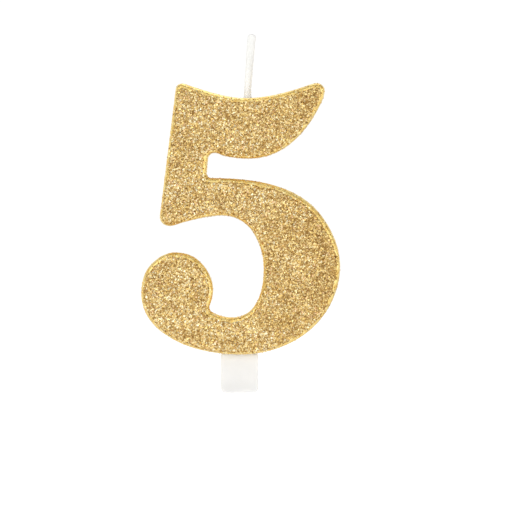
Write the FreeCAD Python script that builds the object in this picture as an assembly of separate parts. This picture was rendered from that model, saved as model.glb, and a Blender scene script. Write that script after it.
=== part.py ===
"""Numeral birthday candle, figure five: moulded wax numeral with a gold film and glitter faces,
a primed cotton wick in the flag of the figure, and a white plastic tab moulded into its foot.

Millimetres. +Z is up, -Y is the front, and the origin is the centre of the tab's end face."""

import FreeCAD, Part

import math
import os

Vector = FreeCAD.Vector
SAME_PLACE = 1e-4              # mm: distances below this count as none when edges are picked

# Numeral: its depth and rim are measured over the gold film, and the glitter layers come on top.
NUMERAL_DEPTH = 9.3
RIM_RADIUS = 1.2
FILM = 0.25
GLITTER = 0.35
GLITTER_EDGE = 0.2
GLITTER_INSET = 1.25

# Plastic tab: the blade shows below the numeral; its root, a step smaller all round, and the tongue
# above the root are held in the wax.
TAB_LENGTH = 10.0
TAB_WIDTH = 9.8
TAB_DEPTH = 3.2
TAB_CORNER = 1.5
TAB_EDGE = 0.5
ROOT_LENGTH = 1.3
ROOT_STEP = 0.15
TONGUE_LENGTH = 5.4
TONGUE_WIDTH = 7.0
TONGUE_DEPTH = 2.0
BARBS = 3
BARB_DEPTH = 0.7
ANCHOR_HOLE_RADIUS = 0.9
ANCHOR_HOLE_SPACING = 3.4

# Wick: a flat braid, straight in the wax, that twists and leans to the right once it is out of it.
WICK_WIDE = 2.06
WICK_NARROW = 1.26
WICK_SKIN = 0.12
WICK_X = 2.1
WICK_FOOT = 65.3
WICK_FREE = 76.9
WICK_TOP = 93.2
WICK_BARE = 0.25
WICK_LEAN = 1.15
WICK_LEAN_POWER = 1.3
WICK_TWIST = 62.0
WICK_SECTIONS = 6

# The numeral's outline over the film, clockwise as seen from the front. Each point gives x from the
# tab's centre line, z above the numeral's lowest point, and the heading there in degrees, counted
# anticlockwise from +X.
OUTLINE = [
    # flag: top left corner, dished top edge, rounded right tip
    (-16.5, 68.6, 83),
    (-14.9, 70.0, 0),
    (-12.4, 69.3, -18),
    (1.6, 66.25, 0),
    (17.2, 69.4, 19),
    (20.0, 70.1, 0),
    (22.0, 68.1, -90),
    # underside of the flag, back to the notch
    (20.3, 63.4, -117),
    (14.3, 55.4, -137),
    (2.6, 50.6, 180),
    (-4.0, 51.35, 165),
    (-6.5, 52.1, 180),
    (-8.15, 50.4, -95),
    (-8.45, 47.0, -95),
    (-7.2, 45.6, 0),
    # outside of the bowl
    (5.8, 44.5, -11),
    (16.8, 40.1, -34.5),
    (22.9, 33.3, -60),
    (26.0, 22.8, -90),
    (23.8, 13.5, -116),
    (17.5, 5.7, -142),
    (0.3, 0.0, 180),
    (-12.4, 1.85, 162),
    (-20.6, 6.2, 141),
    # ball terminal
    (-25.4, 15.6, 90),
    (-23.2, 22.9, 49),
    (-16.6, 26.4, 0),
    (-10.1, 23.9, -45),
    (-6.8, 16.6, -90),
    (-7.7, 12.6, -112),
    (-7.1, 11.0, -30),
    # inside of the bowl
    (-1.9, 9.6, 0),
    (3.4, 12.0, 51),
    (6.2, 22.2, 90),
    (3.4, 31.7, 124),
    (-4.4, 35.9, 180),
    (-14.3, 34.2, 194),
    # lower left corner of the stem
    (-18.1, 33.2, 180),
    (-20.6, 35.5, 90),
    (-20.25, 38.6, 83),
]


def heading(degrees):
    """Unit vector in the XZ plane at an angle counted anticlockwise from +X."""
    angle = math.radians(degrees)
    return Vector(math.cos(angle), 0, math.sin(angle))


def handle_share(start_heading, end_heading):
    """Length of a Bezier handle as a share of the chord, exact for a circular arc of this turn."""
    turn = abs((end_heading - start_heading + 180) % 360 - 180)
    if turn < 1:
        return 1 / 3
    turn = math.radians(turn)
    return 2 / 3 * math.tan(turn / 4) / math.sin(turn / 2)


def numeral_face(growth, y):
    """Face of the numeral at depth y, with its outline moved outwards by growth."""
    points = []
    for x, z, degrees in OUTLINE:
        outwards = heading(degrees + 90)
        points.append(Vector(x, y, z + TAB_LENGTH) + outwards * growth)
    edges = []
    for i, start in enumerate(points):
        following = (i + 1) % len(points)
        end = points[following]
        start_heading, end_heading = OUTLINE[i][2], OUTLINE[following][2]
        reach = (end - start).Length * handle_share(start_heading, end_heading)
        curve = Part.BezierCurve()
        curve.setPoles([start, start + heading(start_heading) * reach,
                        end - heading(end_heading) * reach, end])
        edges.append(curve.toShape())
    return Part.Face(Part.Wire(edges))


def rim_edges(solid, depths):
    """The edges of solid that lie wholly at one of these depths."""
    found = []
    for edge in solid.Edges:
        box = edge.BoundBox
        if any(abs(box.YMin - y) < SAME_PLACE and abs(box.YMax - y) < SAME_PLACE for y in depths):
            found.append(edge)
    return found


def numeral_solid(growth, depth, radius):
    """The numeral as a slab centred on y = 0 with rounded front and back rims."""
    slab = numeral_face(growth, -depth / 2).extrude(Vector(0, depth, 0))
    return slab.makeFillet(radius, rim_edges(slab, (-depth / 2, depth / 2)))


def glitter_plate(side):
    """Layer of glitter in clear binder on one flat face; side is -1 in front and 1 behind."""
    inner = side * NUMERAL_DEPTH / 2
    plate = numeral_face(-GLITTER_INSET, inner).extrude(Vector(0, side * GLITTER, 0))
    return plate.makeFillet(GLITTER_EDGE, rim_edges(plate, (inner + side * GLITTER,)))


def wick_section(height, skin):
    """Oval section of the wick at a height, grown by skin, as a wire of four quarter arcs."""
    free_share = max(0.0, height - WICK_FREE) / (WICK_TOP - WICK_FREE)
    oval = Part.Ellipse(Vector(0, 0, 0), WICK_WIDE / 2 + skin, WICK_NARROW / 2 + skin)
    quarters = [Part.Edge(oval, math.pi / 2 * i, math.pi / 2 * (i + 1)) for i in range(4)]
    section = Part.Wire(quarters)
    section.rotate(Vector(0, 0, 0), Vector(0, 0, 1), WICK_TWIST * (1 - free_share))
    section.translate(Vector(WICK_X + WICK_LEAN * free_share ** WICK_LEAN_POWER, 0, height))
    return section


def wick_solid(skin, top):
    """The wick from its buried end up to a height, grown by skin."""
    straight = Part.Face(wick_section(WICK_FOOT, skin)).extrude(Vector(0, 0, WICK_FREE - WICK_FOOT))
    step = (top - WICK_FREE) / (WICK_SECTIONS - 1)
    sections = [wick_section(WICK_FREE + step * i, skin) for i in range(WICK_SECTIONS)]
    return straight.fuse(Part.makeLoft(sections, True, False))


def centred_box(width, depth, low, high):
    """Box between two heights, centred on the Z axis."""
    return Part.makeBox(width, depth, high - low, Vector(-width / 2, -depth / 2, low))


def rounded_blade():
    """The part of the tab that shows, from its end face up to the numeral's foot."""
    blade = centred_box(TAB_WIDTH, TAB_DEPTH, 0, TAB_LENGTH)
    corners = []
    for edge in blade.Edges:
        box = edge.BoundBox
        if box.ZMax < SAME_PLACE and box.XLength < SAME_PLACE:
            corners.append(edge)
    blade = blade.makeFillet(TAB_CORNER, corners)
    rims = []
    for edge in blade.Edges:
        box = edge.BoundBox
        if box.YLength < SAME_PLACE and box.ZMin < TAB_LENGTH - SAME_PLACE:
            rims.append(edge)
    return blade.makeFillet(TAB_EDGE, rims)


def root():
    """The blade's end inside the wax."""
    step = 2 * ROOT_STEP
    return centred_box(TAB_WIDTH - step, TAB_DEPTH - step, TAB_LENGTH, TAB_LENGTH + ROOT_LENGTH)


def tongue():
    """Anchor inside the wax: barbed sides and two holes that the wax fills."""
    foot = TAB_LENGTH + ROOT_LENGTH
    pitch = TONGUE_LENGTH / BARBS
    right = []
    for i in range(BARBS):
        right.append((TONGUE_WIDTH / 2, foot + pitch * i))
        right.append((TONGUE_WIDTH / 2 - BARB_DEPTH, foot + pitch * (i + 1)))
    left = [(-x, z) for x, z in reversed(right)]
    corners = [Vector(x, -TONGUE_DEPTH / 2, z) for x, z in right + left]
    plate = Part.Face(Part.makePolygon(corners + corners[:1])).extrude(Vector(0, TONGUE_DEPTH, 0))
    for side in (-1, 1):
        centre = Vector(side * ANCHOR_HOLE_SPACING / 2, -TONGUE_DEPTH, foot + TONGUE_LENGTH / 2)
        hole = Part.makeCylinder(ANCHOR_HOLE_RADIUS, TONGUE_DEPTH * 2, centre, Vector(0, 1, 0))
        plate = plate.cut(hole)
    return plate


def one_solid(shape):
    """The single solid that a boolean result holds."""
    assert len(shape.Solids) == 1, "the shape came apart"
    return shape.Solids[0]


def build():
    """Every node of the candle by name."""
    coated = numeral_solid(0, NUMERAL_DEPTH, RIM_RADIUS)
    core = numeral_solid(-FILM, NUMERAL_DEPTH - 2 * FILM, RIM_RADIUS - FILM)
    tab = one_solid(rounded_blade().fuse([root(), tongue()]).removeSplitter())
    wick = one_solid(wick_solid(0, WICK_TOP))
    skin = wick_solid(WICK_SKIN, WICK_TOP - WICK_BARE)
    return {
        "wax_body": one_solid(core.cut(tab).cut(wick)),
        "gold_film": one_solid(coated.cut(core).cut(tab).cut(wick)),
        "front_glitter": one_solid(glitter_plate(-1)),
        "back_glitter": one_solid(glitter_plate(1)),
        "wick": wick,
        "wick_wax": one_solid(skin.cut(coated).cut(wick)),
        "base_tab": tab,
    }


def main():
    os.makedirs("parts", exist_ok=True)
    for name, solid in build().items():
        solid.exportStep(os.path.join("parts", name + ".step"))
        box = solid.BoundBox
        print(f"{name}: valid {solid.isValid()}, volume {solid.Volume:.1f} mm3, "
              f"x {box.XMin:.2f} to {box.XMax:.2f}, y {box.YMin:.2f} to {box.YMax:.2f}, "
              f"z {box.ZMin:.2f} to {box.ZMax:.2f}")


main()
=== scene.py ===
"""Looks of the numeral birthday candle: lacquered numeral, glitter bed and flakes, braided wick, tab.

Metres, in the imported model's frame: +Z up, -Y the front, origin at the centre of the tab's end."""

import math

import bpy
import numpy as np
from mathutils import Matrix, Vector
from mathutils.bvhtree import BVHTree
from mathutils.geometry import delaunay_2d_cdt
from mathutils.kdtree import KDTree


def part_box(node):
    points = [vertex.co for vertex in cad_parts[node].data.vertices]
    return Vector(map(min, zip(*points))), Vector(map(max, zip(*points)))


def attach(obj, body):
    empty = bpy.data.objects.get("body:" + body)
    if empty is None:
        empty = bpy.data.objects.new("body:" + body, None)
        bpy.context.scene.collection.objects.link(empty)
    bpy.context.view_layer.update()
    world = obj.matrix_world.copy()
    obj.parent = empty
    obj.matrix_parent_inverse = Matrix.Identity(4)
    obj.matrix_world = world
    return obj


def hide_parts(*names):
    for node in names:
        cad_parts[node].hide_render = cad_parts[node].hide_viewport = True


MM = 0.001
FLAT = 0.001 * MM              # corners this close to a plane lie in it
MATCH_STEPS = 1e7              # corners that round to the same ten-millionth of a metre are one corner
SAME_POINT = 1e-9              # metres: points this close are one point in the bed's plan
INSIDE_ONLY = 1                # Delaunay output type: triangles inside the edge
RAY_START = 50 * MM            # rays towards the candle start this far from its middle

# Random fields are sums of sine waves with frequencies of WAVE_SPREAD times the wanted one.
WAVE_COUNT = 14
WAVE_SPREAD = (0.7, 1.5)
WAVE_PEAK = 1.6                # usual peak of such a sum, in standard deviations

# Glitter bed: the clear binder with the lowest flakes, on each flat face. Its mesh has points about
# BED_SPACING apart, its edge tapers over BED_SHOULDER, its top has BED_LUMPS of BED_LUMP in height, as
# (weight, width), and its underside lies BED_SUNK inside the film.
BED_SPACING = 0.34 * MM
BED_EDGE_STEP = 0.9 * BED_SPACING
BED_EDGE_ROOM = 0.6 * BED_SPACING
BED_JITTER = 0.22
BED_THICKNESS = 0.22 * MM
BED_SHOULDER = 0.55 * MM
BED_LUMP = 0.035 * MM
BED_LUMPS = [(1.0, 1.3 * MM), (0.6, 0.5 * MM)]
BED_SUNK = 0.05 * MM

# Gold band that the glitter leaves free along the numeral's outline. CAD_INSET is how far the CAD
# plate stays from the outline, RIM_WAVER is the band's unevenness as (weight, width), and the glitter
# as a whole lies GLITTER_SHIFT (x, z) off the numeral's middle.
CAD_INSET = 1.25 * MM
LOOP_STEP = 0.12 * MM          # spacing of an outline's points where the nearest one is looked for
RIM_CLEAR = 0.86 * MM
RIM_CLEAR_SWING = 0.36 * MM
RIM_CLEAR_LEAST = 0.12 * MM
RIM_WAVER = [(0.40, 7 * MM), (0.35, 1.6 * MM), (0.35, 0.7 * MM)]
GLITTER_SHIFT = np.array([-0.12, -0.32]) * MM

# Loose flakes on the bed, up to FLAKE_LIFT above it, with roots FLAKE_DEPTH long. Their density falls
# outwards across the bed's edge by 1 in FLAKE_FADE, is EDGE_DENSITY at the edge and stays at RIM_STRAYS
# on the gold band. FLAKE_TRIES random places are tried for each flake.
FLAKES_PER_FACE = 19000
FLAKE_TRIES = 4
FLAKE_FADE = 0.75 * MM
EDGE_DENSITY = 0.6
RIM_STRAYS = 0.13
FLAKE_EDGE_ROOM = 0.2 * MM
FLAKE_LIFT = 0.07 * MM
FLAKE_RADIUS = (0.15 * MM, 0.27 * MM)
FLAKE_TILT = 0.34
FLAKE_DEPTH = 0.14 * MM
FLAKE_SIDES = 6
UPRIGHT = 0.8                  # share of Z in a normal above which X, not Z, sets the flake's own axes

# Strays on the film's sides. They thin out from the rims, where their density is 1, to the middle of
# the side, where it is MID_SIDE_DENSITY. STRAY_TRIES random places are tried for each.
STRAY_FLAKES = 6500
STRAY_TRIES = 2
STRAY_TILT = 0.20
MID_SIDE_DENSITY = 0.10
SIDE_POWER = 4
FLAT_FACE = 0.9                # film that faces front or back more than this takes no strays

# Foil tones from dark to light: name, colour, roughness and share of the flakes. TONE_FIELD is how far
# patches of TONE_PATCHES, as (weight, width), shift the tones. The lean below is painted shade: how much
# darker the tones get towards the numeral's right edge, away from the key light.
FLAKE_TONES = [
    ("flake_umber", (0.37, 0.21, 0.06), 0.36, 0.10),
    ("flake_bronze", (0.61, 0.39, 0.14), 0.32, 0.14),
    ("flake_copper", (0.85, 0.55, 0.30), 0.32, 0.05),
    ("flake_deep_gold", (0.84, 0.59, 0.20), 0.29, 0.22),
    ("flake_gold", (0.93, 0.73, 0.33), 0.29, 0.25),
    ("flake_light_gold", (0.95, 0.82, 0.48), 0.30, 0.14),
    ("flake_champagne", (0.95, 0.87, 0.61), 0.29, 0.10),
]
TONE_FIELD = 0.16
TONE_PATCHES = [(0.6, 0.9 * MM), (0.4, 6 * MM)]
PAINTED_SHADE_LEAN = 0.28
PAINTED_SHADE_LEAN_POWER = 1.5

# Wick: strands in a flat braid, each of one ply with RING_PLIES twisted round it. The braid's width
# lies WICK_TWIST from +X up to WICK_FREE and turns to +X at the top. The plies end PLY_END below the
# top, at the braid's sides by up to PLY_END_DROP more, and their cut ends narrow to PLY_END_TAPER.
WICK_FREE = 76.9 * MM
WICK_TWIST = math.radians(62.0)
WICK_END_ROOM = 0.1 * MM
STRANDS = 3
RING_PLIES = 6
PLY_SIDES = 8
PLY_RADIUS = 0.135 * MM
STRAND_RADIUS = 0.25 * MM
STRAND_OUTER = STRAND_RADIUS + PLY_RADIUS
BRAID_ACROSS = 0.62 * MM
BRAID_THROUGH = 0.24 * MM
BRAID_PITCH = 4.4 * MM
PLY_PITCH = 2.4 * MM
WICK_STEP = 0.16 * MM
PLY_END = (0.30 * MM, 0.45 * MM)
PLY_END_DROP = 0.5 * MM
PLY_END_TAPER = 0.55

# Stray fibres of the wick. They start between FIBRE_HIGHEST and FIBRE_LOWEST below its top, and
# FIBRES_NEAR_TIP of them above FIBRE_NEAR_TIP.
FIBRES = 14
FIBRES_NEAR_TIP = 9
FIBRE_HIGHEST = 1.2 * MM
FIBRE_NEAR_TIP = 2.8 * MM
FIBRE_LOWEST = 14.0 * MM
FIBRE_RADIUS = 0.016 * MM
FIBRE_ROOT = 0.35 * MM
FIBRE_REACH = (0.25 * MM, 0.65 * MM)
FIBRE_RISE = (0.2, 1.0)
FIBRE_POINTS = 6
FIBRE_SIDES = 5

# Wax skin on the wick. It starts SLEEVE_SUNK inside the numeral, fills SLEEVE_FILL of the braid's
# hollows, swells at the foot and ends in a round cap, and its colour changes from the whiter tone of the
# foot's heavier wax, partly painted light against the numeral's shade, to that of thinner wax between the
# two heights below, above the foot. Its lumps are those of a sheet that is rolled to SLEEVE_GIRTH_RADIUS.
WAX_SKIN = 0.12 * MM
THICK_WAX_AND_PAINTED_LIGHT_ENDS = (1.5 * MM, 8.5 * MM)
SLEEVE_STEP = 0.12 * MM
SLEEVE_SIDES = 56
SLEEVE_SUNK = 0.2 * MM
SLEEVE_SMOOTHING = 5
SLEEVE_FILL = 0.85
SLEEVE_LUMP = 0.025 * MM
SLEEVE_LUMP_WIDTH = 1.1 * MM
SLEEVE_GIRTH_RADIUS = 0.9 * MM
SLEEVE_SWELL = 0.30 * MM
SLEEVE_SWELL_HEIGHT = 0.8 * MM
SLEEVE_CAP = 0.8 * MM
SLEEVE_CAP_POWER = 2.4
SLEEVE_LAST_STEP = 0.1 * MM
SLEEVE_TOP_GAP = 0.02 * MM

# Random seeds. FACES has each flat face's name, CAD node, side (-1 in front, 1 behind) and seed. The
# offsets are added to a piece's seed for its other random choices.
FACES = [
    ("front", "front_glitter", -1, 11),
    ("back", "back_glitter", 1, 31),
]
STRAY_SEED = 71
WICK_SEED = 91
WAX_SEED = 95
FOIL_OFFSET = 1
LUMPS_OFFSET = 2
FLAKES_OFFSET = 5
TONES_OFFSET = 7
BAND_OFFSET = 50

# Camera: long lens in front of the figure, with the numeral a little left of the frame's centre.
FRAME_WIDTH = 132.0 * MM
VIEW_CENTRE = Vector((4.0 * MM, 0.0, 35.7 * MM))
CAMERA_DISTANCE = 1.5
CAMERA_REACH = 10.0
SENSOR = 36.0
PIXEL_FILTER = 1.55

# Light. Diffuse surfaces see a tent with a strength in front and one behind, gold mirrors a room of
# light and dark panels and a floor whose glow spans FLOOR_MIRRORED over the noise FLOOR_NOISE, and the
# camera sees white paper. Each soft box has a name, a place, a size and the radiance of its front.
TENT = (0.80, 0.40)
ROOM = 0.97
PANEL_SCALE = 2.6
WALL_FADE = 0.24
PAPER = 1.05
FLOOR_REACH = 4.0
FLOOR_GLOW = 0.56
FLOOR_PATCH = 0.35
FLOOR_MIRRORED = (0.75, 1.3)
FLOOR_NOISE = (0.4, 0.6)
SOFT_BOXES = [
    ("key", (-0.45, -0.88, 0.46), 0.55, 1.8),
    ("fill", (0.70, -0.85, 0.16), 0.42, 1.8),
    ("top", (0.05, 0.15, 0.80), 0.45, 1.5),
]

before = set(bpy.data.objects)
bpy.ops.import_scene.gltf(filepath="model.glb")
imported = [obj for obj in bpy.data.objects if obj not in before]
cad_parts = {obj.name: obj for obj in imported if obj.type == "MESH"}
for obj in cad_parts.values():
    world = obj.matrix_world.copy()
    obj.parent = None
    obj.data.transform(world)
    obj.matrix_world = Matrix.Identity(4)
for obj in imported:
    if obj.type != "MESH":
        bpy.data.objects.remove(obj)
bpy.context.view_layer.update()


# ---------------------------------------------------------------- node helpers

def new_material(name):
    """A node material with its Principled shader."""
    material = bpy.data.materials.new(name)
    material.use_nodes = True
    return material, material.node_tree, material.node_tree.nodes["Principled BSDF"]


def add_node(tree, kind, settings=None, **inputs):
    """A node of a kind, with settings as attributes and inputs by socket name; a socket is linked."""
    node = tree.nodes.new(kind)
    for key, value in (settings or {}).items():
        setattr(node, key, value)
    for key, value in inputs.items():
        socket = node.inputs[key.replace("_", " ")]
        if isinstance(value, bpy.types.NodeSocket):
            tree.links.new(value, socket)
        else:
            socket.default_value = value
    return node


def object_position(tree):
    """Position in the row frame, in metres: every piece keeps its origin at the frame's origin."""
    return add_node(tree, "ShaderNodeTexCoord").outputs["Object"]


def noise(tree, position, width, detail=3.0, roughness=0.55):
    """Noise with features about width metres wide, from 0 to 1."""
    node = add_node(tree, "ShaderNodeTexNoise", Vector=position, Scale=1 / width, Detail=detail,
                    Roughness=roughness)
    return node.outputs["Fac"]


def ramp(tree, factor, stops):
    """Colour ramp through (place, colour) stops."""
    node = add_node(tree, "ShaderNodeValToRGB", Fac=factor)
    elements = node.color_ramp.elements
    while len(elements) < len(stops):
        elements.new(0.5)
    for element, (place, colour) in zip(elements, stops):
        element.position = place
        element.color = (*colour, 1)
    return node.outputs["Color"]


def spread(tree, factor, low, high, start=0.0, end=1.0):
    """A factor from start to end mapped to low..high, and held there outside start and end."""
    node = add_node(tree, "ShaderNodeMapRange", Value=factor)
    node.inputs["From Min"].default_value = start
    node.inputs["From Max"].default_value = end
    node.inputs["To Min"].default_value = low
    node.inputs["To Max"].default_value = high
    return node.outputs["Result"]


def bump(tree, height, distance, normal=None):
    """Bump from a 0..1 height that stands for distance metres, on top of another bump's normal."""
    node = add_node(tree, "ShaderNodeBump", Height=height, Distance=distance, Strength=1.0)
    if normal is not None:
        tree.links.new(normal, node.inputs["Normal"])
    return node.outputs["Normal"]


def mix_colours(tree, factor, first, second, blend="MIX"):
    """Colour mix; each of first and second is a colour or a socket."""
    node = add_node(tree, "ShaderNodeMix", {"data_type": "RGBA", "blend_type": blend})
    # Sockets 0, 6 and 7 are the factor and the two colours of a colour mix, and 2 is its result.
    for socket, value in ((node.inputs[0], factor), (node.inputs[6], first), (node.inputs[7], second)):
        if isinstance(value, bpy.types.NodeSocket):
            tree.links.new(value, socket)
        else:
            socket.default_value = value if isinstance(value, float) else (*value, 1)
    return node.outputs[2]


# ---------------------------------------------------------------- materials

def gold_lacquer():
    """Satin gold lacquer over wax: it pools a little, with a fine metallic grain and soft ripples."""
    material, tree, shader = new_material("gold_lacquer")
    position = object_position(tree)
    pooled = noise(tree, position, 1.1 * MM, 4.0)
    colour = ramp(tree, pooled, [(0.32, (0.96, 0.79, 0.34)), (0.50, (0.94, 0.69, 0.21)),
                                 (0.66, (0.86, 0.53, 0.11))])
    grain = add_node(tree, "ShaderNodeTexVoronoi", Vector=position, Scale=1 / (0.09 * MM))
    speckle = ramp(tree, grain.outputs["Color"], [(0.25, (0.82, 0.80, 0.76)), (0.75, (1.0, 1.0, 1.0))])
    colour = mix_colours(tree, 0.55, colour, speckle, "MULTIPLY")
    tree.links.new(colour, shader.inputs["Base Color"])
    shader.inputs["Metallic"].default_value = 0.92
    shader.inputs["Coat Weight"].default_value = 0.85
    shader.inputs["Coat Roughness"].default_value = 0.18
    tree.links.new(spread(tree, noise(tree, position, 0.7 * MM), 0.26, 0.42), shader.inputs["Roughness"])
    ripples = bump(tree, noise(tree, position, 0.8 * MM, 3.0), 0.10 * MM)
    fine = bump(tree, noise(tree, position, 0.12 * MM, 2.0), 0.010 * MM, normal=ripples)
    tree.links.new(fine, shader.inputs["Normal"])
    return material


def glitter_bed():
    """Clear binder full of sunken flakes: each Voronoi cell is a flake with its own tint and tilt."""
    material, tree, shader = new_material("glitter_bed")
    position = object_position(tree)
    cells = add_node(tree, "ShaderNodeTexVoronoi", Vector=position, Scale=1 / (0.30 * MM))
    channels = add_node(tree, "ShaderNodeSeparateColor", Color=cells.outputs["Color"])
    tint = ramp(tree, channels.outputs["Red"], [(0.0, (0.30, 0.16, 0.04)), (0.4, (0.55, 0.33, 0.10)),
                                                (0.75, (0.78, 0.54, 0.20)), (1.0, (0.94, 0.76, 0.42))])
    patches = ramp(tree, noise(tree, position, 5.0 * MM, 3.0), [(0.3, (0.86, 0.80, 0.74)),
                                                               (0.7, (1.0, 1.0, 1.0))])
    tree.links.new(mix_colours(tree, 0.7, tint, patches, "MULTIPLY"), shader.inputs["Base Color"])
    shader.inputs["Metallic"].default_value = 0.85
    tree.links.new(spread(tree, channels.outputs["Green"], 0.22, 0.5), shader.inputs["Roughness"])
    facets = bump(tree, channels.outputs["Blue"], 0.05 * MM)
    tree.links.new(facets, shader.inputs["Normal"])
    return material


def flake_materials():
    """Foil tones of the loose flakes. A flake is one flat cut of foil, so its colour is even."""
    made = []
    for name, colour, roughness, _ in FLAKE_TONES:
        material, _, shader = new_material(name)
        shader.inputs["Base Color"].default_value = (*colour, 1)
        shader.inputs["Metallic"].default_value = 1.0
        shader.inputs["Roughness"].default_value = roughness
        made.append(material)
    return made


def paraffin():
    """Ivory paraffin wax of the numeral's core."""
    material, tree, shader = new_material("paraffin")
    position = object_position(tree)
    cloud = noise(tree, position, 6 * MM)
    colour = ramp(tree, cloud, [(0.3, (0.90, 0.83, 0.66)), (0.7, (0.95, 0.90, 0.77))])
    tree.links.new(colour, shader.inputs["Base Color"])
    shader.inputs["Roughness"].default_value = 0.45
    shader.inputs["Subsurface Weight"].default_value = 0.35
    shader.inputs["Subsurface Scale"].default_value = 2 * MM
    tree.links.new(bump(tree, noise(tree, position, 1.2 * MM), 0.05 * MM), shader.inputs["Normal"])
    return material


def cotton():
    """Bleached cotton plies with fine fibres along them."""
    material, tree, shader = new_material("cotton")
    position = object_position(tree)
    stretched = add_node(tree, "ShaderNodeMapping", Vector=position)
    stretched.inputs["Scale"].default_value = (1, 1, 0.18)
    fibres = noise(tree, stretched.outputs["Vector"], 0.05 * MM, 4.0, 0.65)
    colour = ramp(tree, fibres, [(0.25, (0.80, 0.80, 0.78)), (0.6, (0.87, 0.87, 0.85))])
    tree.links.new(colour, shader.inputs["Base Color"])
    shader.inputs["Roughness"].default_value = 0.85
    shader.inputs["Sheen Weight"].default_value = 0.3
    tree.links.new(bump(tree, fibres, 0.02 * MM), shader.inputs["Normal"])
    return material


def priming_wax():
    """White wax on the wick, cloudy: thickest at the foot, where painted light also whitens it against
    the shade that the numeral casts, and thinner above, where the cotton greys it.
    """
    material, tree, shader = new_material("priming_wax")
    position = object_position(tree)
    cloud = noise(tree, position, 0.9 * MM, 4.0)
    height = add_node(tree, "ShaderNodeSeparateXYZ", Vector=position).outputs["Z"]
    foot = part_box("wick_wax")[0].z
    thinned = spread(tree, height, 0.0, 1.0, foot + THICK_WAX_AND_PAINTED_LIGHT_ENDS[0], foot + THICK_WAX_AND_PAINTED_LIGHT_ENDS[1])
    # Painted light: the foot's whiter wax tone reaches well up the wick, lightening the shade that the
    # numeral casts on its lower part.
    thick_wax_and_painted_light = ramp(tree, cloud, [(0.3, (0.965, 0.965, 0.95)), (0.7, (0.98, 0.98, 0.965))])
    thin = ramp(tree, cloud, [(0.3, (0.81, 0.81, 0.79)), (0.7, (0.83, 0.83, 0.81))])
    tree.links.new(mix_colours(tree, thinned, thick_wax_and_painted_light, thin), shader.inputs["Base Color"])
    shader.inputs["Specular IOR Level"].default_value = 0.35
    shader.inputs["Subsurface Weight"].default_value = 0.85
    shader.inputs["Subsurface Radius"].default_value = (1.0, 1.0, 1.0)
    shader.inputs["Subsurface Scale"].default_value = 0.9 * MM
    tree.links.new(spread(tree, cloud, 0.38, 0.58), shader.inputs["Roughness"])
    tree.links.new(bump(tree, noise(tree, position, 0.16 * MM), 0.012 * MM), shader.inputs["Normal"])
    return material


def tab_plastic():
    """White moulded plastic with painted light and shade: whiter under the numeral, where its shadow
    falls, and greyer towards the tab's end; faint flow clouding, satin grain, a few scuffs.
    """
    material, tree, shader = new_material("tab_plastic")
    position = object_position(tree)
    cloud = noise(tree, position, 3.5 * MM, 3.0)
    height = add_node(tree, "ShaderNodeSeparateXYZ", Vector=position).outputs["Z"]
    # Painted light and shade: the base colour runs from grey at the tab's end to white under the
    # numeral's overhang, where the numeral's shadow falls.
    rise = spread(tree, height, 0.0, 1.0, 0.0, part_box("gold_film")[0].z)
    colour = ramp(tree, rise, [(0.0, (0.75, 0.75, 0.745)), (0.4, (0.82, 0.82, 0.815)),
                               (0.75, (0.82, 0.82, 0.815)), (1.0, (0.91, 0.91, 0.905))])
    clouds = ramp(tree, cloud, [(0.3, (0.97, 0.97, 0.97)), (0.7, (1.0, 1.0, 1.0))])
    colour = mix_colours(tree, 1.0, colour, clouds, "MULTIPLY")
    tree.links.new(colour, shader.inputs["Base Color"])
    scuffs = add_node(tree, "ShaderNodeMapping", Vector=position)
    scuffs.inputs["Scale"].default_value = (1, 1, 0.12)
    tree.links.new(spread(tree, noise(tree, scuffs.outputs["Vector"], 0.25 * MM), 0.30, 0.48),
                   shader.inputs["Roughness"])
    shader.inputs["Specular IOR Level"].default_value = 0.3
    shader.inputs["Subsurface Weight"].default_value = 0.6
    shader.inputs["Subsurface Radius"].default_value = (1.0, 1.0, 1.0)
    shader.inputs["Subsurface Scale"].default_value = 2.6 * MM
    grain = bump(tree, noise(tree, position, 0.10 * MM, 2.0), 0.004 * MM)
    tree.links.new(bump(tree, cloud, 0.05 * MM, normal=grain), shader.inputs["Normal"])
    return material


# ---------------------------------------------------------------- mesh helpers

def mesh_piece(name, points, faces, materials, smooth=False, choices=None):
    """A new piece that rides on the candle, from points and triangles."""
    mesh = bpy.data.meshes.new(name)
    mesh.from_pydata([tuple(p) for p in points], [], [tuple(f) for f in faces])
    for material in materials:
        mesh.materials.append(material)
    if choices is not None:
        mesh.polygons.foreach_set("material_index", np.asarray(choices, dtype=np.int32))
    mesh.polygons.foreach_set("use_smooth", np.full(len(mesh.polygons), smooth))
    mesh.update()
    piece = bpy.data.objects.new(name, mesh)
    bpy.context.scene.collection.objects.link(piece)
    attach(piece, "root")
    return piece


def triangles(node):
    """Corner points of a CAD node's triangles, as an array of n x 3 x 3."""
    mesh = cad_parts[node].data
    mesh.calc_loop_triangles()
    points = np.array([v.co for v in mesh.vertices])
    corners = np.array([t.vertices for t in mesh.loop_triangles])
    return points[corners]


def search_tree(node):
    """Search tree over a CAD node's surface."""
    corners = triangles(node)
    points = [Vector(p) for p in corners.reshape(-1, 3)]
    faces = [(3 * i, 3 * i + 1, 3 * i + 2) for i in range(len(corners))]
    return BVHTree.FromPolygons(points, faces)


def border(corner_triples):
    """The edges that only one of the triangles has, as (start, end) in its own direction."""
    edges = {}
    for a, b, c in corner_triples:
        for start, end in ((a, b), (b, c), (c, a)):
            if edges.pop((end, start), None) is None:
                edges[(start, end)] = True
    return list(edges)


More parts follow.
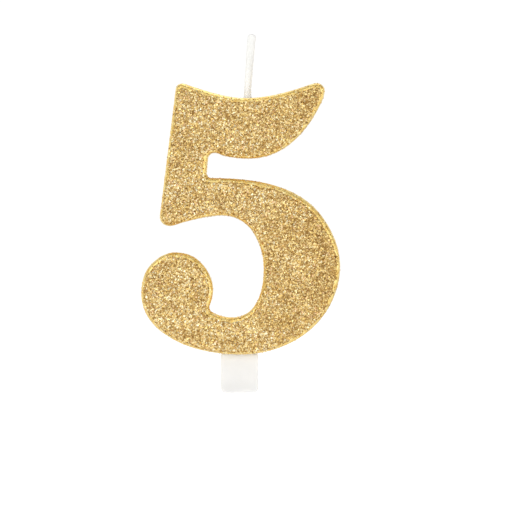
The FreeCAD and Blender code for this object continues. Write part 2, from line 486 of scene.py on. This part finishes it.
def plate_outline():
    """The glitter plate's outline against the film, as an ordered loop of (x, z), anticlockwise."""
    corners = triangles("front_glitter")
    inner = corners[:, :, 1].max()
    flat = corners[np.abs(corners[:, :, 1] - inner).max(axis=1) < FLAT]
    places = {}
    keyed = []
    for triangle in flat:
        keys = [(round(p[0] * MATCH_STEPS), round(p[2] * MATCH_STEPS)) for p in triangle]
        keyed.append(keys)
        for key, point in zip(keys, triangle):
            places[key] = (point[0], point[2])
    following = dict(border(keyed))
    loop = [next(iter(following))]
    while following[loop[-1]] != loop[0]:
        loop.append(following[loop[-1]])
    outline = np.array([places[key] for key in loop])
    x, z = outline.T
    area = (x * np.roll(z, -1) - z * np.roll(x, -1)).sum() / 2
    return outline if area > 0 else outline[::-1]


def resample(loop, spacing):
    """The closed loop with points at an even spacing."""
    closed = np.vstack([loop, loop[:1]])
    along = np.r_[0, np.cumsum(np.linalg.norm(np.diff(closed, axis=0), axis=1))]
    places = np.linspace(0, along[-1], int(along[-1] / spacing), endpoint=False)
    return np.column_stack([np.interp(places, along, closed[:, i]) for i in range(2)])


def outward(loop):
    """Unit outward normals of an anticlockwise loop."""
    tangent = np.roll(loop, -1, axis=0) - np.roll(loop, 1, axis=0)
    tangent /= np.linalg.norm(tangent, axis=1)[:, None]
    return np.column_stack([tangent[:, 1], -tangent[:, 0]])


def nearest_rim(points, loop):
    """Depth of (x, z) points inside a closed anticlockwise loop, and the rim's outward normal there."""
    dense = resample(loop, LOOP_STEP)
    normals = outward(dense)
    tree = KDTree(len(dense))
    for i, (x, z) in enumerate(dense):
        tree.insert((x, z, 0), i)
    tree.balance()
    nearest = np.array([tree.find((x, z, 0))[1] for x, z in points])
    away = points - dense[nearest]
    side = np.sign((away * normals[nearest]).sum(axis=1))
    return -side * np.linalg.norm(away, axis=1), normals[nearest]


def waves(points, width, seed):
    """Smooth random field of about -1..1 with features about width wide."""
    random = np.random.RandomState(seed)
    total = np.zeros(len(points))
    for _ in range(WAVE_COUNT):
        angle = random.uniform(0, 2 * math.pi)
        wave = random.uniform(*WAVE_SPREAD) * math.pi / width
        phase = random.uniform(0, 2 * math.pi)
        total += np.sin(points[:, 0] * math.cos(angle) * wave
                        + points[:, 1] * math.sin(angle) * wave + phase)
    deviation = math.sqrt(WAVE_COUNT / 2)
    return total / deviation / WAVE_PEAK


def layered_waves(points, layers, seed):
    """Sum of random fields, each given as (weight, width)."""
    return sum(weight * waves(points, width, seed + i) for i, (weight, width) in enumerate(layers))


def rim_clear(points, facing, seed):
    """Width of the gold band beside points, by the way that the outline faces there."""
    waver = layered_waves(points, RIM_WAVER, seed)
    return np.maximum(RIM_CLEAR - facing @ GLITTER_SHIFT + RIM_CLEAR_SWING * waver, RIM_CLEAR_LEAST)


# ---------------------------------------------------------------- glitter

def on_surface(tree, x, z, side):
    """Point of a surface at x and z as seen from the front (side -1) or back (side 1), and its normal."""
    hit, normal, _, _ = tree.ray_cast(Vector((x, side * RAY_START, z)), Vector((0, -side, 0)))
    if hit is not None and normal.y * side < 0:
        normal = -normal
    return hit, normal


def bed_plan(outline, seed):
    """The bed's (x, z) points and anticlockwise triangles, and how deep each point is inside its edge."""
    base = resample(outline, BED_EDGE_STEP)
    facing = outward(base)
    edge = base + facing * (CAD_INSET - rim_clear(base, facing, seed))[:, None]
    low, high = edge.min(axis=0), edge.max(axis=0)
    columns = np.arange(low[0], high[0], BED_SPACING)
    rows = np.arange(low[1], high[1], BED_SPACING * math.sqrt(0.75))
    grid = np.array([(x + (i % 2) * BED_SPACING / 2, z) for i, z in enumerate(rows) for x in columns])
    grid += np.random.RandomState(seed).uniform(-BED_JITTER, BED_JITTER, grid.shape) * BED_SPACING
    grid = grid[nearest_rim(grid, edge)[0] > BED_EDGE_ROOM]
    places = [Vector(p) for p in np.vstack([edge, grid])]
    ring = [(i, (i + 1) % len(edge)) for i in range(len(edge))]
    found = delaunay_2d_cdt(places, ring, [], INSIDE_ONLY, SAME_POINT)
    flat = np.array([tuple(p) for p in found[0]])
    faces = np.array(found[2])
    depth, _ = nearest_rim(flat, edge)
    return flat, faces, depth


def bed(name, node, side, outline, film, material, seed):
    """The glitter bed on one face: a lumpy layer with a wavering, tapered edge, closed underneath."""
    flat, faces, depth = bed_plan(outline, seed)
    rise = np.clip(depth / BED_SHOULDER, 0, 1)
    rise = rise * (2 - rise)
    lift = rise * (BED_THICKNESS + BED_LUMP * layered_waves(flat, BED_LUMPS, seed + LUMPS_OFFSET))
    top, bottom = [], []
    for (x, z), up in zip(flat, lift):
        hit, _ = on_surface(film, x, z, side)
        top.append((x, hit.y + side * up, z))
        bottom.append((x, hit.y - side * BED_SUNK, z))
    towards = faces if side < 0 else faces[:, ::-1]
    count = len(flat)
    under = towards[:, ::-1] + count
    walls = []
    for start, end in border(towards):
        walls += [(end, start, start + count), (end, start + count, end + count)]
    closed = np.vstack([towards, under, walls])
    piece = mesh_piece(name, top + bottom, closed, [material], smooth=True)
    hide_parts(node)
    return piece


def flake_arrays(centres, normals, random, tilt):
    """Points and triangles of flakes: each is a tilted hexagon of foil with a root down in the binder."""
    count = len(centres)
    normals = normals + random.normal(0, tilt, (count, 3))
    normals /= np.linalg.norm(normals, axis=1)[:, None]
    upright = np.abs(normals[:, 2:]) > UPRIGHT
    helper = np.where(upright, (1.0, 0.0, 0.0), (0.0, 0.0, 1.0))
    across = np.cross(normals, helper)
    across /= np.linalg.norm(across, axis=1)[:, None]
    along = np.cross(normals, across)
    radius = random.uniform(*FLAKE_RADIUS, count)
    step = 2 * math.pi / FLAKE_SIDES
    spin = random.uniform(0, step, count)
    points = np.empty((count, FLAKE_SIDES + 1, 3))
    for k in range(FLAKE_SIDES):
        angle = spin + k * step
        points[:, k] = centres + radius[:, None] * (np.cos(angle)[:, None] * across
                                                    + np.sin(angle)[:, None] * along)
    points[:, FLAKE_SIDES] = centres - normals * FLAKE_DEPTH
    fan = [(0, k + 1, k + 2) for k in range(FLAKE_SIDES - 2)]
    skirt = [((k + 1) % FLAKE_SIDES, k, FLAKE_SIDES) for k in range(FLAKE_SIDES)]
    faces = np.array(fan + skirt)[None] + np.arange(count)[:, None, None] * (FLAKE_SIDES + 1)
    facing = np.cross(points[:, 1] - points[:, 0], points[:, 2] - points[:, 0])
    turned = (facing * normals).sum(axis=1) < 0
    faces[turned] = faces[turned][:, :, ::-1]
    return points.reshape(-1, 3), faces.reshape(-1, 3)


def scatter(name, centres, normals, materials, seed, tilt):
    """A piece of loose flakes at centres, with foil tones picked at random, and painted shade that
    darkens them towards the numeral's right edge.
    """
    random = np.random.RandomState(seed)
    points, faces = flake_arrays(centres, normals, random, tilt)
    field = layered_waves(centres[:, [0, 2]], TONE_PATCHES, seed + TONES_OFFSET)
    rightness = np.clip(centres[:, 0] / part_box("gold_film")[1].x, 0, 1)
    luck = random.uniform(0, 1, len(centres)) + TONE_FIELD * field
    # Painted shade: flakes get darker towards the numeral's right edge, away from the key light.
    luck -= PAINTED_SHADE_LEAN * rightness ** PAINTED_SHADE_LEAN_POWER
    limits = np.cumsum([share for _, _, _, share in FLAKE_TONES])[:-1]
    tones = np.repeat(np.searchsorted(limits, luck), len(faces) // len(centres))
    return mesh_piece(name, points, faces, materials, choices=tones)


def face_flakes(name, side, outline, film, bed_piece, materials, seed):
    """Loose flakes on one face: dense on the bed, thinning out over its edge."""
    random = np.random.RandomState(seed)
    low, high = outline.min(axis=0) - CAD_INSET, outline.max(axis=0) + CAD_INSET
    wanted = random.uniform(low, high, (FLAKES_PER_FACE * FLAKE_TRIES, 2))
    depth, facing = nearest_rim(wanted, outline)
    depth += CAD_INSET
    past_band = depth - rim_clear(wanted, facing, seed + BAND_OFFSET)
    chance = np.clip(past_band / FLAKE_FADE + EDGE_DENSITY, RIM_STRAYS, 1)
    kept = (depth > FLAKE_EDGE_ROOM) & (random.uniform(0, 1, len(wanted)) < chance)
    wanted = wanted[kept][:FLAKES_PER_FACE]
    polygons = [tuple(p.vertices) for p in bed_piece.data.polygons]
    bed_tree = BVHTree.FromPolygons([v.co for v in bed_piece.data.vertices], polygons)
    centres, normals = [], []
    for x, z in wanted:
        hit, normal = on_surface(bed_tree, x, z, side)
        if hit is None:
            hit, normal = on_surface(film, x, z, side)
        if hit is None:
            continue
        centres.append(hit)
        normals.append(normal)
    centres, normals = np.array(centres), np.array(normals)
    centres += normals * random.uniform(0.0, FLAKE_LIFT, (len(centres), 1))
    return scatter(name, centres, normals, materials, seed + FOIL_OFFSET, FLAKE_TILT)


def stray_flakes(materials, seed):
    """Single flakes that fell on the film's rims and sides while the faces were being coated."""
    random = np.random.RandomState(seed)
    corners = triangles("gold_film")
    across = np.cross(corners[:, 1] - corners[:, 0], corners[:, 2] - corners[:, 0])
    area = np.linalg.norm(across, axis=1) / 2
    normal = across / np.maximum(2 * area, np.finfo(float).tiny)[:, None]
    sideways = area * (np.abs(normal[:, 1]) < FLAT_FACE)
    picked = random.choice(len(corners), STRAY_FLAKES * STRAY_TRIES, p=sideways / sideways.sum())
    a, b = random.uniform(0, 1, (2, len(picked)))
    over = a + b > 1
    a[over], b[over] = 1 - a[over], 1 - b[over]
    chosen = corners[picked]
    centres = (chosen[:, 0] + (chosen[:, 1] - chosen[:, 0]) * a[:, None]
               + (chosen[:, 2] - chosen[:, 0]) * b[:, None])
    normals = normal[picked]
    near_rim = np.abs(centres[:, 1]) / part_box("gold_film")[1].y
    chance = MID_SIDE_DENSITY + (1 - MID_SIDE_DENSITY) * near_rim ** SIDE_POWER
    kept = random.uniform(0, 1, len(centres)) < chance
    centres, normals = centres[kept][:STRAY_FLAKES], normals[kept][:STRAY_FLAKES]
    return scatter("side_flakes", centres, normals, materials, seed + FOIL_OFFSET, STRAY_TILT)


# ---------------------------------------------------------------- wick

class WickLine:
    """Centre line of the wick's CAD solid, with the turn of its flat side at each height."""

    def __init__(self):
        self.tree = search_tree("wick")
        low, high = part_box("wick")
        self.foot, self.top = low.z, high.z

    def centre(self, height):
        """Middle of the solid along X at a height, held near its ends at the last full section."""
        level = min(max(height, self.foot + WICK_END_ROOM), self.top - WICK_END_ROOM)
        left, _, _, _ = self.tree.ray_cast(Vector((-RAY_START, 0, level)), Vector((1, 0, 0)))
        right, _, _, _ = self.tree.ray_cast(Vector((RAY_START, 0, level)), Vector((-1, 0, 0)))
        return (left.x + right.x) / 2

    def turn(self, height):
        """Angle of the braid's wide direction from +X."""
        share = (height - WICK_FREE) / (self.top - WICK_FREE)
        return WICK_TWIST * (1 - min(max(share, 0), 1))

    def place(self, height, across, through):
        """Point at a height, across the braid's width and through its thickness."""
        turn = self.turn(height)
        x = across * math.cos(turn) - through * math.sin(turn)
        y = across * math.sin(turn) + through * math.cos(turn)
        return Vector((self.centre(height) + x, y, height))


def strand_offset(strand, height):
    """Place of a strand's middle in the flat braid, across and through it."""
    phase = 2 * math.pi * (height / BRAID_PITCH + strand / STRANDS)
    return BRAID_ACROSS * math.sin(phase), BRAID_THROUGH * math.sin(2 * phase)


def closed_tube_faces(rings, sides):
    """Triangles of a tube of rings of points, with a fan round one more point at each end."""
    faces = []
    for i in range(rings - 1):
        for k in range(sides):
            a, b = i * sides + k, i * sides + (k + 1) % sides
            faces += [(a, b, b + sides), (a, b + sides, a + sides)]
    first, last = rings * sides, rings * sides + 1
    end_ring = (rings - 1) * sides
    for k in range(sides):
        faces.append((first, (k + 1) % sides, k))
        faces.append((last, end_ring + k, end_ring + (k + 1) % sides))
    return faces


def tube(path, radii, sides):
    """Points and triangles of a closed tube along a path."""
    points = []
    side = Vector((1, 0, 0))
    for i, centre in enumerate(path):
        ahead = (path[min(i + 1, len(path) - 1)] - path[max(i - 1, 0)]).normalized()
        side = (side - ahead * side.dot(ahead)).normalized()
        other = ahead.cross(side)
        for k in range(sides):
            angle = 2 * math.pi * k / sides
            points.append(centre + (side * math.cos(angle) + other * math.sin(angle)) * radii[i])
    return points + [path[0], path[-1]], closed_tube_faces(len(path), sides)


def join(parts):
    """Points and triangles of several parts as one."""
    points, faces = [], []
    for some_points, some_faces in parts:
        start = len(points)
        points += list(some_points)
        faces += [tuple(start + i for i in face) for face in some_faces]
    return points, faces


def braid(line, random):
    """The strands' plies, each twisted round its strand; their cut ends follow the wax's round cap."""
    tubes = []
    for strand in range(STRANDS):
        shoulder = abs(strand_offset(strand, line.top)[0]) / BRAID_ACROSS
        for ply in range(RING_PLIES + 1):
            top = line.top - random.uniform(*PLY_END) - PLY_END_DROP * shoulder
            ring = STRAND_RADIUS if ply < RING_PLIES else 0.0
            path = []
            for height in np.arange(line.foot, top, WICK_STEP):
                angle = 2 * math.pi * (height / PLY_PITCH + ply / RING_PLIES + strand / STRANDS)
                across, through = strand_offset(strand, height)
                path.append(line.place(height, across + ring * math.cos(angle),
                                       through + ring * math.sin(angle)))
            radii = [PLY_RADIUS] * len(path)
            radii[-1] = PLY_RADIUS * PLY_END_TAPER
            tubes.append(tube(path, radii, PLY_SIDES))
    return tubes


def stray_fibres(line, random):
    """Fine hairs that stand out of the wax below its cap, most of them near the tip."""
    tubes = []
    for i in range(FIBRES):
        lowest = FIBRE_NEAR_TIP if i < FIBRES_NEAR_TIP else FIBRE_LOWEST
        height = line.top - random.uniform(FIBRE_HIGHEST, lowest)
        angle = random.uniform(0, 2 * math.pi)
        reach = random.uniform(*FIBRE_REACH)
        start = line.place(height, BRAID_ACROSS * math.cos(angle), BRAID_THROUGH * math.sin(angle))
        heading = angle + line.turn(height)
        out = Vector((math.cos(heading), math.sin(heading), 0))
        rise = random.uniform(*FIBRE_RISE)
        path = []
        for share in np.linspace(0, 1, FIBRE_POINTS):
            path.append(start + out * (FIBRE_ROOT + reach * share)
                        + Vector((0, 0, rise * reach * share ** 2)))
        radii = np.linspace(FIBRE_RADIUS, FIBRE_RADIUS * 0.5, FIBRE_POINTS)
        tubes.append(tube(path, radii, FIBRE_SIDES))
    return tubes


def wick_pieces(cotton_material, wax_material):
    """The braided wick and the priming wax that follows its strands."""
    line = WickLine()
    random = np.random.RandomState(WICK_SEED)
    points, faces = join(braid(line, random) + stray_fibres(line, random))
    wick = mesh_piece("braided_wick", points, faces, [cotton_material], smooth=True)
    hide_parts("wick")
    points, faces = wax_sleeve(line)
    sleeve = mesh_piece("wick_wax_sleeve", points, faces, [wax_material], smooth=True)
    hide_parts("wick_wax")


def strand_reach(height, angle):
    """How far the strands reach from the wick's middle in one direction of the braid's own section."""
    reach = 0.0
    for strand in range(STRANDS):
        across, through = strand_offset(strand, height)
        along = across * math.cos(angle) + through * math.sin(angle)
        off = across * math.sin(angle) - through * math.cos(angle)
        if abs(off) < STRAND_OUTER:
            reach = max(reach, along + math.sqrt(STRAND_OUTER ** 2 - off ** 2))
    return reach


def wax_sleeve(line):
    """Wax skin over the strands: it rounds off the grooves, swells at the foot and ends in a cap."""
    low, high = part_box("wick_wax")
    heights = np.arange(low.z - SLEEVE_SUNK, high.z - SLEEVE_LAST_STEP, SLEEVE_STEP)
    heights = np.append(heights, high.z - SLEEVE_TOP_GAP)
    angles = np.linspace(0, 2 * math.pi, SLEEVE_SIDES, endpoint=False)
    reach = np.array([[strand_reach(h, a) for a in angles] for h in heights])
    for _ in range(SLEEVE_SMOOTHING):
        reach = (reach + np.roll(reach, 1, axis=1) + np.roll(reach, -1, axis=1)) / 3
        reach[1:-1] = (reach[2:] + reach[1:-1] + reach[:-2]) / 3
    oval = 1 / np.hypot(np.cos(angles) / (BRAID_ACROSS + STRAND_OUTER),
                        np.sin(angles) / (BRAID_THROUGH + STRAND_OUTER))
    filled = np.maximum(reach.max(axis=0), oval)
    reach += SLEEVE_FILL * (filled - reach) + WAX_SKIN
    unrolled = np.array([(a * SLEEVE_GIRTH_RADIUS, h) for h in heights for a in angles])
    reach += SLEEVE_LUMP * waves(unrolled, SLEEVE_LUMP_WIDTH, WAX_SEED).reshape(reach.shape)
    swell = np.exp(-(heights - low.z) / SLEEVE_SWELL_HEIGHT)
    reach += SLEEVE_SWELL * np.clip(swell, 0, 1)[:, None]
    below_top = np.clip((high.z - heights) / SLEEVE_CAP, 0, 1)
    reach *= np.sqrt(1 - (1 - below_top) ** SLEEVE_CAP_POWER)[:, None]
    points = []
    for height, ring in zip(heights, reach):
        for angle, radius in zip(angles, ring):
            points.append(line.place(height, radius * math.cos(angle), radius * math.sin(angle)))
    points += [line.place(heights[0], 0, 0), line.place(heights[-1], 0, 0)]
    return points, closed_tube_faces(len(heights), len(angles))


# ---------------------------------------------------------------- scene

def paper_floor():
    """White paper under the candle. It glows a little, and it is patchy where gold mirrors it."""
    mesh = bpy.data.meshes.new("floor")
    corners = [(-FLOOR_REACH, -FLOOR_REACH, 0), (FLOOR_REACH, -FLOOR_REACH, 0),
               (FLOOR_REACH, FLOOR_REACH, 0), (-FLOOR_REACH, FLOOR_REACH, 0)]
    mesh.from_pydata(corners, [], [(0, 1, 2, 3)])
    floor = bpy.data.objects.new("floor", mesh)
    bpy.context.scene.collection.objects.link(floor)
    material, tree, shader = new_material("floor_paper")
    shader.inputs["Base Color"].default_value = (0.93, 0.93, 0.93, 1)
    shader.inputs["Roughness"].default_value = 0.9
    shader.inputs["Emission Color"].default_value = (1, 1, 1, 1)
    shader.inputs["Emission Strength"].default_value = FLOOR_GLOW
    patches = noise(tree, object_position(tree), FLOOR_PATCH, 1.0)
    strength = spread(tree, patches, *FLOOR_MIRRORED, *FLOOR_NOISE)
    mirrored = add_node(tree, "ShaderNodeEmission", Strength=strength)
    glossy = add_node(tree, "ShaderNodeLightPath").outputs["Is Glossy Ray"]
    output = tree.nodes["Material Output"]
    tree.links.new(mix_shaders(tree, glossy, shader, mirrored).outputs[0], output.inputs["Surface"])
    mesh.materials.append(material)


def surroundings():
    """World round the candle: a tent for diffuse light, a panelled room with a white wall behind the
    candle for reflections, and white paper for the camera."""
    world = bpy.data.worlds.new("studio")
    bpy.context.scene.world = world
    world.use_nodes = True
    tree = world.node_tree
    tree.nodes.clear()
    direction = add_node(tree, "ShaderNodeTexCoord").outputs["Generated"]
    backwards = add_node(tree, "ShaderNodeSeparateXYZ", Vector=direction).outputs["Y"]
    panels = add_node(tree, "ShaderNodeTexNoise", Vector=direction, Scale=PANEL_SCALE, Detail=1.0)
    room = ramp(tree, panels.outputs["Fac"], [(0.40, (0.07, 0.07, 0.07)), (0.50, (0.54, 0.53, 0.52)),
                                              (0.60, (1.26, 1.24, 1.21))])
    wall = ramp(tree, backwards, [(0.0, (0.0, 0.0, 0.0)), (WALL_FADE, (1.0, 1.0, 1.0))])
    room = mix_colours(tree, 1.0, room, wall, "LIGHTEN")
    mirrored = add_node(tree, "ShaderNodeBackground", Color=room, Strength=ROOM)
    strength = spread(tree, backwards, *TENT, -1.0, 1.0)
    tent = add_node(tree, "ShaderNodeBackground", Color=(1, 1, 1, 1), Strength=strength)
    paper = add_node(tree, "ShaderNodeBackground", Color=(1, 1, 1, 1), Strength=PAPER)
    path = add_node(tree, "ShaderNodeLightPath")
    lit = mix_shaders(tree, path.outputs["Is Glossy Ray"], tent, mirrored)
    seen = mix_shaders(tree, path.outputs["Is Camera Ray"], lit, paper)
    output = add_node(tree, "ShaderNodeOutputWorld")
    tree.links.new(seen.outputs[0], output.inputs["Surface"])


def mix_shaders(tree, factor, first, second):
    """Mix of two shader nodes by a factor socket."""
    node = add_node(tree, "ShaderNodeMixShader", Fac=factor)
    tree.links.new(first.outputs[0], node.inputs[1])
    tree.links.new(second.outputs[0], node.inputs[2])
    return node


def soft_box(name, place, size, radiance):
    """Square soft box aimed at the candle."""
    light = bpy.data.lights.new(name, "AREA")
    light.size = size
    light.energy = radiance * math.pi * size ** 2
    box = bpy.data.objects.new(name, light)
    box.location = place
    box.rotation_euler = (VIEW_CENTRE - Vector(place)).to_track_quat("-Z", "Y").to_euler()
    bpy.context.scene.collection.objects.link(box)


def camera():
    """Long lens at the figure's height, square to its face."""
    data = bpy.data.cameras.new("camera")
    data.sensor_width = SENSOR
    data.lens = SENSOR * CAMERA_DISTANCE / FRAME_WIDTH
    data.clip_end = CAMERA_REACH
    view = bpy.data.objects.new("camera", data)
    view.location = VIEW_CENTRE - Vector((0, CAMERA_DISTANCE, 0))
    view.rotation_euler = (math.pi / 2, 0, 0)
    bpy.context.scene.collection.objects.link(view)
    bpy.context.scene.camera = view


def dress(node, material):
    """Gives a CAD node its finished material."""
    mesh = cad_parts[node].data
    mesh.materials.clear()
    mesh.materials.append(material)


def main():
    camera()
    paper_floor()
    surroundings()
    for name, place, size, radiance in SOFT_BOXES:
        soft_box(name, place, size, radiance)
    scene = bpy.context.scene
    scene.view_settings.view_transform = "Standard"
    scene.cycles.use_denoising = True
    scene.cycles.filter_width = PIXEL_FILTER
    dress("wax_body", paraffin())
    dress("gold_film", gold_lacquer())
    dress("base_tab", tab_plastic())
    wick_pieces(cotton(), priming_wax())
    film = search_tree("gold_film")
    outline = plate_outline()
    bed_material = glitter_bed()
    foils = flake_materials()
    for name, node, side, seed in FACES:
        layer = bed(name + "_bed", node, side, outline, film, bed_material, seed)
        face_flakes(name + "_flakes", side, outline, film, layer, foils, seed + FLAKES_OFFSET)
    stray_flakes(foils, STRAY_SEED)


main()
